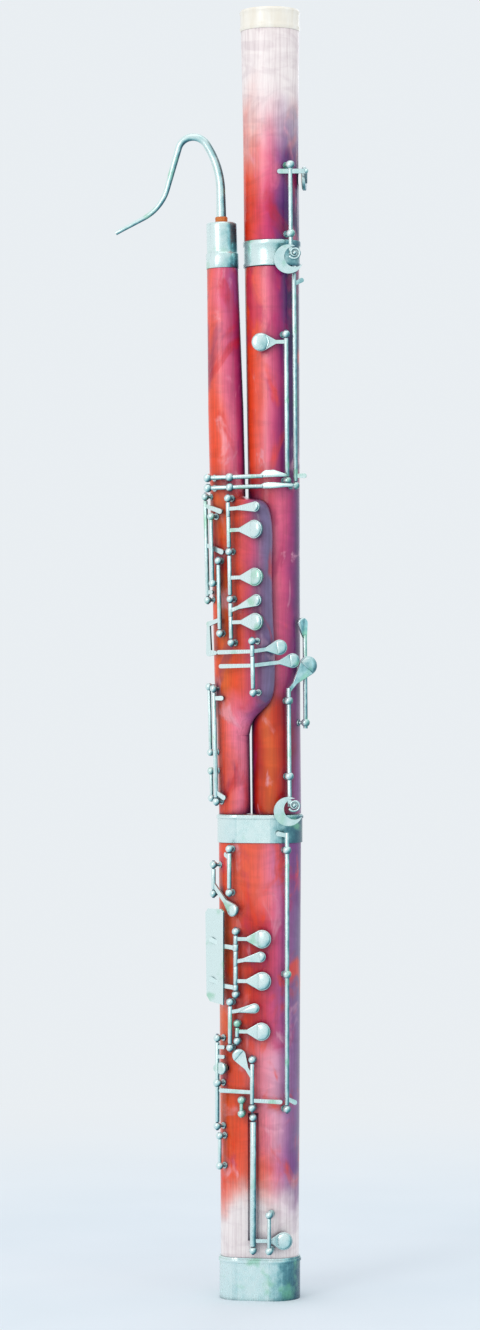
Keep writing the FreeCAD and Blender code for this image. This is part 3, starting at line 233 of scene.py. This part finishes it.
def maple(name, edges, base, zones=(), blooms=(), fade=None):
    """Figured maple under bright uneven stain and clear varnish.

    edges are the joint's left and right sides with its lean and foot height, and base the colours from left
    to right: the stain, with the pale pinks of the middle a painted highlight and the mauve, purple and navy
    towards the right flank painted shade. zones are the stretches with other colours, laid the same way,
    blooms the clouded patches, and fade where the stain is bleached.
    """
    shader = Shader(name)
    place = across(shader, *edges)
    colour = shader.ramp(place, even_stops(base))
    for low, high, colours, strength in zones:
        mask = shader.math("MULTIPLY", zone(shader, low, high), strength)
        colour = shader.mix(mask, colour, shader.ramp(place, even_stops(colours)))
    for scale, low, high, tint, strength in blooms:
        cloud = shader.span(shader.noise(scale, 4, (1, 1, 0.5), 0.8, 0.55), low, high)
        colour = shader.mix(shader.math("MULTIPLY", cloud, strength), colour, tint)
    if fade:
        start, end, tint = fade
        drift = shader.math("SUBTRACT", shader.noise(22, 4, (1, 1, 0.6), 0.5), 0.5)
        waver = shader.math("MULTIPLY", drift, 0.11)
        mask = shader.span(shader.math("ADD", shader.z, waver), start, end)
        if start > end:
            mask = shader.span(shader.math("ADD", shader.z, waver), end, start, 1.0, 0.0)
        colour = shader.mix(mask, colour, tint)
    grain = shader.noise(260, 4, (1, 1, 0.035), 1.6, 0.6)
    flame = shader.noise(40, 3, (0.6, 0.6, 1.5), 1.4)
    pores = shader.noise(1500, 2, (1, 1, 0.06))
    grain_tone = shader.ramp(grain, [(0.3, rgb(196, 180, 186)), (0.62, WHITE)], "EASE")
    flame_tone = shader.ramp(flame, [(0.35, rgb(205, 190, 200)), (0.6, WHITE)], "EASE")
    colour = shader.mix(0.3, colour, grain_tone, "MULTIPLY")
    colour = shader.mix(0.22, colour, flame_tone, "MULTIPLY")
    # Painted shade: the wood darkens towards navy where another part stands close.
    shade = shader.span(shader.crevice(0.011), 0.25, 0.85, 0.0, 1.0)
    colour = shader.mix(shader.math("SUBTRACT", 1.0, shade), colour, shader.mix(0.75, colour, NAVY))
    shader.bump(shader.math("ADD", grain, shader.math("MULTIPLY", pores, 0.5)), 0.00012, 0.5)
    gloss = shader.math("ADD", shader.math("MULTIPLY", grain, 0.12), 0.24)
    colour = shader.mix(0.42, colour, colour, "MULTIPLY")
    return shader.finish(colour, Roughness=gloss, Specular_IOR_Level=0.3,
                         Coat_Weight=0.28, Coat_Roughness=0.12, Coat_IOR=1.45)


def stain_and_shade_joints():
    boot_low, boot_high = corners("boot_joint")
    top = boot_high.z
    wing_edge, wing_width, wing_lean = -0.0435, 0.062, math.radians(1.357)
    long_edge, long_width, long_lean = -0.0085, 0.0545, math.radians(0.5)
    # Colours run from the left flank to the right: the stain, with the pale pinks a painted highlight and
    # the purples and navy towards the right a painted shade.
    boot = maple(
        "maple_stain_and_shade_boot", (boot_low.x, boot_high.x),
        [ORANGE, SALMON, SALMON, SALMON, PINK, MAUVE, PURPLE],
        [(0.26, 0.405, [AMBER, SALMON, RED, RED, ROSE, MAUVE, GREY_VIOLET], 0.85),
         (0.15, 0.26, [AMBER, ORANGE, SALMON, PINK, PALE_PINK, MAUVE, GREY_VIOLET], 0.9)],
        [(34, 0.52, 0.7, ORANGE, 0.75), (26, 0.56, 0.72, MAGENTA, 0.55), (40, 0.58, 0.72, PALE_PINK, 0.5)],
        (0.14, 0.075, BLEACHED))
    wing = maple(
        "maple_stain_and_shade_wing", (wing_edge, wing_edge + wing_width, wing_lean, top),
        [ORANGE, SALMON, PINK, MAGENTA, PURPLE, NAVY, NAVY],
        [(top - 0.05, top + 0.118, [ORANGE, SALMON, PINK, PINK, MAUVE, PURPLE, PURPLE], 1.0),
         (top + 0.118, top + 0.338, [ORANGE, AMBER, ORANGE, SALMON, ROSE, GREY_VIOLET, GREY_VIOLET], 1.0),
         (top + 0.52, top + 0.6, [SALMON, PINK, ROSE, MAUVE, PURPLE, NAVY, NAVY], 0.8)],
        [(30, 0.54, 0.7, RED, 0.6), (24, 0.55, 0.7, PURPLE, 0.5), (38, 0.58, 0.72, PALE_PINK, 0.5)])
    long_joint = maple(
        "maple_stain_and_shade_long", (long_edge, long_edge + long_width, long_lean, top),
        [ORANGE, SALMON, PINK, MAGENTA, PURPLE, NAVY, NAVY],
        [(top - 0.05, top + 0.13, [DEEP_RED, RED, AMBER, RED, DEEP_RED, MAUVE, PURPLE], 1.0),
         (top + 0.13, top + 0.345, [DEEP_RED, MAGENTA, ORANGE, PINK, ROSE, PURPLE, NAVY], 0.95)],
        [(30, 0.53, 0.68, MAGENTA, 0.55), (26, 0.56, 0.7, ORANGE, 0.6), (42, 0.6, 0.72, PALE_PINK, 0.6)])
    bell_z = corners("bell_ferrule")[1].z
    bell = maple(
        "maple_stain_and_shade_bell", (long_edge - 0.003, long_edge + long_width, long_lean, top),
        [ORANGE, SALMON, PINK, ROSE, MAUVE, PURPLE, PURPLE],
        [(bell_z - 0.03, bell_z + 0.045, [RED, ORANGE, ROSE, MAGENTA, PURPLE, PURPLE, NAVY], 0.9)],
        [(30, 0.54, 0.7, RED, 0.5), (34, 0.56, 0.7, PINK, 0.6)],
        (bell_z + 0.075, bell_z + 0.17, BLEACHED))
    for node, material in (("boot_joint", boot), ("wing_joint", wing), ("long_joint", long_joint),
                           ("bell_joint", bell)):
        dress(node, material)


# ---------------------------------------------------------------- the other materials

def dress(node, material):
    """Gives a CAD node its material."""
    mesh = NODES[node].data
    mesh.materials.clear()
    mesh.materials.append(material)


def silver(name, crevice_shade_strength=1.0):
    """Silver plate: pale mint white with random green patches, and painted light and shade: paler towards
    the key light, teal to dark blue on the side away from it, and a painted dark shade where it meets its
    neighbours.
    """
    shader = Shader(name)
    # Painted highlight and shade: the ramp runs from pale white on the side towards the key light to teal
    # and dark blue on the side away from it.
    shaded_side = shader.facing((0.75, 0.2, -0.62))
    cloud = shader.math("MULTIPLY", shader.math("SUBTRACT", shader.noise(130, 3), 0.5), 0.7)
    tone = shader.span(shader.math("ADD", shaded_side, cloud), -0.6, 0.85)
    colour = shader.ramp(tone, [(0.0, rgb(232, 246, 244)), (0.36, rgb(178, 222, 222)),
                                (0.62, rgb(96, 160, 168)), (1.0, rgb(28, 72, 96))])
    green = shader.span(shader.noise(48, 2), 0.56, 0.72, 0.0, 0.55)
    colour = shader.mix(green, colour, rgb(132, 206, 164))
    # Painted shade: a dark teal outline where another part stands close, weaker on the fittings.
    near = shader.span(shader.crevice(0.006), 0.2, 0.85)
    outline = shader.math("MULTIPLY", shader.math("SUBTRACT", 1.0, near), crevice_shade_strength)
    colour = shader.mix(outline, colour, rgb(26, 66, 84))
    scratches = shader.noise(900, 2, (1, 1, 0.2))
    shader.bump(scratches, 0.00004, 0.5)
    gloss = shader.math("ADD", shader.math("MULTIPLY", scratches, 0.12), 0.2)
    return shader.finish(colour, Metallic=0.62, Roughness=gloss)


def blued_steel():
    shader = Shader("blued_steel")
    streaks = shader.noise(260, 3, (1, 1, 0.2))
    colour = shader.ramp(streaks, [(0.3, rgb(46, 72, 104)), (0.7, rgb(116, 140, 160))])
    shader.bump(shader.noise(1400, 2), 0.00003)
    return shader.finish(colour, Metallic=0.9, Roughness=0.28)


def cork():
    shader = Shader("waxed_cork")
    flecks = shader.noise(900, 5, (1, 1, 1), 1.2, 0.7)
    colour = shader.ramp(flecks, [(0.32, rgb(120, 54, 20)), (0.5, rgb(226, 120, 56)),
                                  (0.7, rgb(246, 160, 92))])
    shader.bump(flecks, 0.0003)
    return shader.finish(colour, Roughness=0.75)


def leather():
    shader = Shader("pad_skin")
    creases = shader.noise(1100, 4, (1, 1, 1), 0.6, 0.6)
    colour = shader.ramp(creases, [(0.3, rgb(196, 176, 142)), (0.7, rgb(236, 224, 198))])
    shader.bump(creases, 0.00015)
    return shader.finish(colour, Roughness=0.55, Sheen_Weight=0.2)


def ivory():
    shader = Shader("ivory_white")
    streaks = shader.noise(160, 4, (1, 1, 0.12), 0.6)
    colour = shader.ramp(streaks, [(0.3, rgb(236, 226, 208)), (0.7, rgb(252, 248, 240))])
    shader.bump(streaks, 0.00006, 0.4)
    return shader.finish(colour, Roughness=0.3, Coat_Weight=0.4, Coat_Roughness=0.1)


def black_rubber():
    shader = Shader("hard_rubber")
    bloom = shader.noise(300, 3)
    colour = shader.ramp(bloom, [(0.3, rgb(16, 16, 18)), (0.75, rgb(44, 42, 44))])
    return shader.finish(colour, Roughness=0.4)


# ---------------------------------------------------------------- mesh helpers

def piece(name, body, mesh, material, smooth=True):
    """Keeps a bmesh or a mesh as a piece that rides on a body."""
    if isinstance(mesh, bmesh.types.BMesh):
        data = bpy.data.meshes.new(name)
        bmesh.ops.recalc_face_normals(mesh, faces=mesh.faces)
        mesh.to_mesh(data)
        mesh.free()
        mesh = data
    if smooth:
        mesh.polygons.foreach_set("use_smooth", [True] * len(mesh.polygons))
    mesh.materials.append(material)
    made = bpy.data.objects.new(name, mesh)
    bpy.context.scene.collection.objects.link(made)
    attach(made, body)
    return made


def hull_2d(points):
    """The convex outline of plane points, anticlockwise."""
    points = sorted(set(points))

    def half(ordered):
        chain = []
        for p in ordered:
            while len(chain) > 1 and ((chain[-1][0] - chain[-2][0]) * (p[1] - chain[-2][1])
                                      - (chain[-1][1] - chain[-2][1]) * (p[0] - chain[-2][0])) <= 0:
                chain.pop()
            chain.append(p)
        return chain[:-1]

    return half(points) + half(points[::-1])


def flat_face(node, facing=None, forward=0.25):
    """The widest flat of a CAD node that faces the front: its points, its normal and its level along it."""
    mesh = NODES[node].data
    groups = {}
    for polygon in mesh.polygons:
        normal = polygon.normal
        if facing is not None and normal.angle(Vector(facing)) > math.radians(3):
            continue
        if normal.y > -forward or abs(normal.z) > 0.3:
            continue
        level = round(polygon.center.dot(normal), 4)
        groups.setdefault((*(round(c, 2) for c in normal), level), []).append(polygon)
    widest = max(groups.values(), key=lambda group: sum(p.area for p in group))
    normal = sum((p.normal * p.area for p in widest), Vector()).normalized()
    points = [mesh.vertices[i].co.copy() for p in widest for i in p.vertices]
    return points, normal, max(p.dot(normal) for p in points)


def outline(points, normal):
    """Plane axes and the convex outline of points that lie in one plane."""
    side = Vector((0, 0, 1)).cross(normal).normalized()
    up = normal.cross(side)
    flat = [(round(p.dot(side), 6), round(p.dot(up), 6)) for p in points]
    return side, up, hull_2d(flat)


def dome(name, body, points, normal, level, height, material, inset=0.25 * MM):
    """A smooth crown that swells from a flat face's outline."""
    side, up, edge = outline(points, normal)
    middle_x = sum(p[0] for p in edge) / len(edge)
    middle_y = sum(p[1] for p in edge) / len(edge)
    reach = max(math.hypot(p[0] - middle_x, p[1] - middle_y) for p in edge)
    shrink = 1 - inset / reach
    rings = 7
    mesh = bmesh.new()
    loops = []
    for k in range(rings):
        turn = math.radians(90) * k / rings
        size, rise = shrink * math.cos(turn), height * math.sin(turn)
        sink = -0.1 * MM if k == 0 else 0.0
        loop = []
        for x, y in edge:
            across_plate = side * (middle_x + (x - middle_x) * size)
            along_plate = up * (middle_y + (y - middle_y) * size)
            loop.append(mesh.verts.new(across_plate + along_plate + normal * (level + rise + sink)))
        loops.append(loop)
    top = mesh.verts.new(side * middle_x + up * middle_y + normal * (level + height))
    for low, high in zip(loops, loops[1:]):
        for i in range(len(edge)):
            j = (i + 1) % len(edge)
            mesh.faces.new((low[i], low[j], high[j], high[i]))
    for i in range(len(edge)):
        mesh.faces.new((loops[-1][i], loops[-1][(i + 1) % len(edge)], top))
    mesh.faces.new(loops[0][::-1])
    return piece(name, body, mesh, material)


def lathe(mesh, profile, centre, axis, count=28):
    """Adds a turned form. profile is (radius, height along axis), closed on the axis at each end."""
    axis = Vector(axis).normalized()
    first = axis.orthogonal().normalized()
    second = axis.cross(first)
    rows = []
    for radius, height in profile:
        if radius < 1e-7:
            rows.append([mesh.verts.new(centre + axis * height)])
            continue
        row = []
        for i in range(count):
            a = 2 * math.pi * i / count
            spoke = first * (radius * math.cos(a)) + second * (radius * math.sin(a))
            row.append(mesh.verts.new(centre + axis * height + spoke))
        rows.append(row)
    for low, high in zip(rows, rows[1:]):
        for i in range(count):
            j = (i + 1) % count
            ring = [low[i % len(low)], low[j % len(low)], high[j % len(high)], high[i % len(high)]]
            unique = list(dict.fromkeys(ring))
            if len(unique) > 2:
                mesh.faces.new(unique)


def wire(mesh, path, radius, sides=8):
    """Adds a round wire along a path to a bmesh, tapered by a radius for each point or one for all."""
    radii = radius if isinstance(radius, list) else [radius] * len(path)
    rows = []
    lead = None
    for i, (point, size) in enumerate(zip(path, radii)):
        ahead = (path[min(i + 1, len(path) - 1)] - path[max(i - 1, 0)]).normalized()
        lead = ahead.orthogonal() if lead is None else lead - ahead * lead.dot(ahead)
        lead.normalize()
        other = ahead.cross(lead)
        rows.append([mesh.verts.new(point + lead * (size * math.cos(a)) + other * (size * math.sin(a)))
                     for a in (2 * math.pi * k / sides for k in range(sides))])
    for low, high in zip(rows, rows[1:]):
        for i in range(sides):
            mesh.faces.new((low[i], low[(i + 1) % sides], high[(i + 1) % sides], high[i]))
    mesh.faces.new(rows[0][::-1])
    mesh.faces.new(rows[-1])


def islands(node):
    """The separate solids of a CAD node, each as a list of its points."""
    mesh = NODES[node].data
    keys = [tuple(round(c, 6) for c in v.co) for v in mesh.vertices]
    root = {k: k for k in keys}

    def find(k):
        while root[k] != k:
            root[k] = root[root[k]]
            k = root[k]
        return k

    for polygon in mesh.polygons:
        first = find(keys[polygon.vertices[0]])
        for i in polygon.vertices[1:]:
            root[find(keys[i])] = first
    groups = {}
    for k in root:
        groups.setdefault(find(k), []).append(Vector(k))
    return sorted(groups.values(), key=lambda points: (min(p.z for p in points), min(p.x for p in points)))


# ---------------------------------------------------------------- keywork details

def crown_touches(material):
    """Domes the touch plates.

    Each entry is the key, the share of its reach where the plate starts, and its rise. A cross lever's hinge
    lies level, and there the plate is the lever's far end instead.
    """
    far_end = 0.036
    touches = [(f"finger_key_{i}", 0.42, 2.6) for i in range(1, 7)]
    touches += [("wing_upper_touch", 0.3, 2.0), ("wing_lower_touch", 0.3, 2.2),
                ("boot_upper_touch", 0.3, 2.0), ("boot_lower_touch", 0.3, 2.0),
                ("thumb_lever_upper", 0.5, 2.2), ("thumb_lever_lower", 0.66, 2.2),
                ("low_key", 0.6, 2.4), ("long_joint_key", 0.42, 2.6), ("great_spatula_key", 0.3, 2.6),
                ("pancake_key", 0.42, 1.8), ("side_touch_key", 0.05, 1.8), ("boot_side_key", 0.6, 1.8),
                ("oval_pad_key", 0.1, 1.6), ("upper_cross_lever", 0.3, 1.3), ("lower_cross_lever", 0.3, 1.3)]
    for key, start, rise in touches:
        facing = (0.375, -0.927, 0) if key == "great_spatula_key" else None
        points, normal, level = flat_face(key, facing)
        hinge = Vector(HINGES[key]["pos_m"])
        axis = Vector(HINGES[key]["axis"])
        if abs(axis.z) > 0.7:
            away = axis.cross(normal).normalized()
            reaches = [(p - hinge).dot(away) for p in points]
            far = max(reaches, key=abs)
            points = [p for p, reach in zip(points, reaches) if reach / far > start]
        else:
            reaches = [(p - hinge).dot(axis) for p in points]
            far = max(reaches)
            points = [p for p, reach in zip(points, reaches) if reach > far - far_end]
        dome(f"{key}_crown", key, points, normal, level, rise * MM, material)


def puffed_pads(material):
    """Skin-covered felt pads: a rolled rim round a face that swells a little."""
    for key in [name for name in NODES if name.endswith("_pad")]:
        mesh = NODES[key].data
        wide = {}
        for polygon in mesh.polygons:
            wide.setdefault(tuple(round(abs(c), 2) for c in polygon.normal), []).append(polygon)
        flats = max(wide.values(), key=lambda group: sum(p.area for p in group))
        normal = flats[0].normal.copy()
        points = [v.co for v in mesh.vertices]
        centre = sum(points, Vector()) / len(points)
        if normal.dot(centre - Vector((centre.x * 0.5, 0.05, centre.z))) < 0:
            normal = -normal
        half = max(abs((p - centre).dot(normal)) for p in points)
        radius = max(((p - centre) - normal * (p - centre).dot(normal)).length for p in points)
        profile = [(0, half), (radius * 0.9, half), (radius * 0.98, half * 0.7), (radius, 0.0),
                   (radius * 0.985, -half * 0.6), (radius * 0.93, -half * 0.95),
                   (radius * 0.84, -half * 1.02), (radius * 0.74, -half * 0.9),
                   (radius * 0.5, -half * 0.97), (radius * 0.2, -half * 1.04),
                   (0, -half * 1.05)]
        form = bmesh.new()
        lathe(form, profile, centre, normal, 40)
        made = piece(f"{key}_skin", key.removesuffix("_pad"), form, material)
        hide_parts(key)


def rod_screws(material):
    """A slotted screw head in the ball at each end of every steel."""
    form = bmesh.new()
    radius, rise, slot = 1.45 * MM, 0.75 * MM, 0.22 * MM
    for points in islands("key_axles"):
        low, high = min(p.z for p in points), max(p.z for p in points)
        ends = []
        for level in (low, high):
            close = [p for p in points if abs(p.z - level) < 0.2 * MM]
            ends.append(sum(close, Vector()) / len(close))
        along = (ends[1] - ends[0]).normalized()
        for end, out in ((ends[0], -along), (ends[1], along)):
            side = out.orthogonal().normalized()
            cross = out.cross(side)
            for sign in (1, -1):
                rim = [end + side * (sign * slot)]
                steps = 9
                for k in range(steps + 1):
                    a = math.pi * k / steps - math.pi / 2
                    reach = max(slot, radius * math.cos(a))
                    rim.append(end + side * sign * reach + cross * (radius * math.sin(a)))
                low_ring = [form.verts.new(p) for p in rim[1:]]
                high_ring = [form.verts.new(end + (p - end) * 0.86 + out * rise) for p in rim[1:]]
                form.faces.new(low_ring)
                form.faces.new(high_ring)
                for i in range(len(low_ring)):
                    j = (i + 1) % len(low_ring)
                    form.faces.new((low_ring[i], low_ring[j], high_ring[j], high_ring[i]))
    piece("rod_screws", "body", form, material, smooth=False)


def needle_springs(material):
    """A blued needle from the lower post of each sprung key, bowed along its tube towards the hook on it."""
    form = bmesh.new()
    keys = [f"finger_key_{i}" for i in range(1, 7)]
    keys += ["wing_upper_touch", "wing_side_key", "long_joint_key", "wing_link_rod", "oval_pad_key",
             "low_key", "boot_link_rod", "bell_link_rod", "pancake_key"]
    for key in keys:
        hinge = HINGES[key]
        middle, axis = Vector(hinge["pos_m"]), Vector(hinge["axis"])
        if axis.z < 0:
            axis = -axis
        low, high = corners(key)
        half = min(middle.z - low.z, high.z - middle.z)
        length = min(2 * half * 0.8, 0.026)
        foot = middle - axis * (half + 2 * MM)
        side = Vector((0.35, 0.93, 0)).normalized()
        steps = 7
        path = []
        for k in range(steps + 1):
            bow = 2.9 + 0.9 * math.sin(math.pi * k / steps)
            path.append(foot + axis * (length * k / steps + 1 * MM) + side * bow * MM)
        wire(form, path, [0.34 * MM - 0.02 * MM * k for k in range(steps + 1)])
    piece("needle_springs", "body", form, material)


def scrolls(material):
    """The raised scroll on each moon-shaped clutch."""
    for key in ("bell_key", "great_spatula_key"):
        points, _, level = flat_face(key, facing=(0, -1, 0))
        left = min(p.x for p in points)
        low = min(p.z for p in points)
        radius = 15 * MM
        centre = Vector((left + radius + 0.42 * radius, -level, low + radius + 0.42 * radius))
        form = bmesh.new()
        turns, steps = 1.55, 44
        path = []
        sizes = []
        for k in range(steps + 1):
            share = k / steps
            a = math.radians(-150) + 2 * math.pi * turns * share
            reach = (6.4 - 4.6 * share) * MM
            path.append(centre + Vector((math.cos(a) * reach, -0.2 * MM, math.sin(a) * reach)))
            sizes.append((1.25 - 0.5 * share) * MM)
        wire(form, path, sizes, 10)
        bead = [(0, 0.0), (2.0 * MM, 0.2 * MM), (1.9 * MM, 1.3 * MM), (1.2 * MM, 2.1 * MM), (0, 2.4 * MM)]
        lathe(form, bead, centre, (0, -1, 0), 20)
        piece(f"{key}_scroll", key, form, material)


def soften_edges():
    """A fine round on the sharp edges of the metal and wood."""
    skipped = {"u_tube", "wing_bore_liner", "key_axles", "tenon_corks"}
    for name, node in NODES.items():
        if name in skipped or name.endswith("_pad"):
            continue
        weld = node.modifiers.new("Weld", "WELD")
        weld.merge_threshold = 0.002 * MM
        bevel = node.modifiers.new("Bevel", "BEVEL")
        bevel.width = 0.28 * MM
        bevel.segments = 2
        bevel.limit_method = "ANGLE"
        bevel.angle_limit = math.radians(48)
        bevel.use_clamp_overlap = True
        bevel.harden_normals = True


# ---------------------------------------------------------------- stage, light and camera

BACKDROP = rgb(240, 245, 249)
BACKDROP_STRENGTH = 0.94
FLOOR_RADIUS, NEAR_FLOOR, FAR_FLOOR = 40, 0.35, 1.7


def studio():
    """A pale floor that melts into the backdrop, four soft lamps and the camera."""
    floor_form = bmesh.new()
    bmesh.ops.create_circle(floor_form, cap_ends=True, radius=FLOOR_RADIUS, segments=96)
    floor_mesh = bpy.data.meshes.new("floor")
    floor_form.to_mesh(floor_mesh)
    floor_form.free()
    floor = bpy.data.objects.new("floor", floor_mesh)
    paper = Shader("pale_floor")
    tone = paper.ramp(paper.noise(3, 2), [(0.3, rgb(226, 234, 240)), (0.7, rgb(234, 240, 245))])
    x_squared = paper.math("MULTIPLY", paper.x, paper.x)
    y_squared = paper.math("MULTIPLY", paper.y, paper.y)
    from_middle = paper.math("SQRT", paper.math("ADD", x_squared, y_squared))
    outward = paper.span(from_middle, NEAR_FLOOR, FAR_FLOOR)
    floor_mesh.materials.append(paper.finish(
        paper.mix(outward, tone, rgb(0, 0, 0)), Roughness=0.9, Specular_IOR_Level=0.0,
        Emission_Color=BACKDROP, Emission_Strength=paper.math("MULTIPLY", outward, BACKDROP_STRENGTH)))
    bpy.context.scene.collection.objects.link(floor)
    floor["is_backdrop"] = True

    world = bpy.data.worlds.new("studio")
    world.use_nodes = True
    backdrop = world.node_tree.nodes["Background"]
    backdrop.inputs["Color"].default_value = BACKDROP
    backdrop.inputs["Strength"].default_value = BACKDROP_STRENGTH
    bpy.context.scene.world = world

    low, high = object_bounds()
    middle = (low + high) / 2
    lamps = [("key_light", (-1.5, -2.2, 0.9), (0.9, 1.9), 15, rgb(255, 253, 250)),
             ("fill_light", (2.1, -1.5, 0.2), (0.6, 1.8), 2, rgb(190, 226, 240)),
             ("top_light", (0.2, -0.5, 2.0), (1.6, 1.2), 4, WHITE),
             ("back_light", (0.6, 2.2, 0.9), (1.4, 1.8), 5, rgb(236, 244, 255))]
    for name, offset, size, power, colour in lamps:
        lamp = bpy.data.lights.new(name, "AREA")
        lamp.shape = "RECTANGLE"
        lamp.size, lamp.size_y = size
        lamp.energy = power
        lamp.color = colour[:3]
        holder = bpy.data.objects.new(name, lamp)
        bpy.context.scene.collection.objects.link(holder)
        holder.location = middle + Vector(offset)
        holder.rotation_mode = "QUATERNION"
        holder.rotation_quaternion = (-Vector(offset)).to_track_quat("-Z", "Y")

    camera = bpy.data.cameras.new("camera")
    camera.lens, camera.sensor_width = 100, 36
    holder = bpy.data.objects.new("camera", camera)
    bpy.context.scene.collection.objects.link(holder)
    shown_height = 1.383
    distance = shown_height * camera.lens / camera.sensor_width
    holder.location = (-0.021, -distance, 0.657)
    holder.rotation_euler = (math.radians(90), 0, 0)
    camera.clip_end = 100
    bpy.context.scene.camera = holder
    bpy.context.scene.view_settings.view_transform = "Standard"


# ---------------------------------------------------------------- making the bassoon

stain_and_shade_joints()
plate = silver("silver_plate")
fittings = silver("silver_fittings", 0.6)
steel = blued_steel()
skin = leather()
waxed = cork()
special = {"tenon_corks": waxed, "bocal_cork": waxed, "bell_ring": ivory(),
           "wing_bore_liner": black_rubber(), "key_axles": steel}
for name in NODES:
    if name in special:
        dress(name, special[name])
    elif name in ("boot_band", "boot_cap", "wing_ferrule", "bell_ferrule", "bocal", "u_tube", "strap_eye"):
        dress(name, fittings)
    elif not name.endswith("_joint"):
        dress(name, plate)
crown_touches(plate)
puffed_pads(skin)
rod_screws(steel)
needle_springs(steel)
scrolls(plate)
soften_edges()
studio()
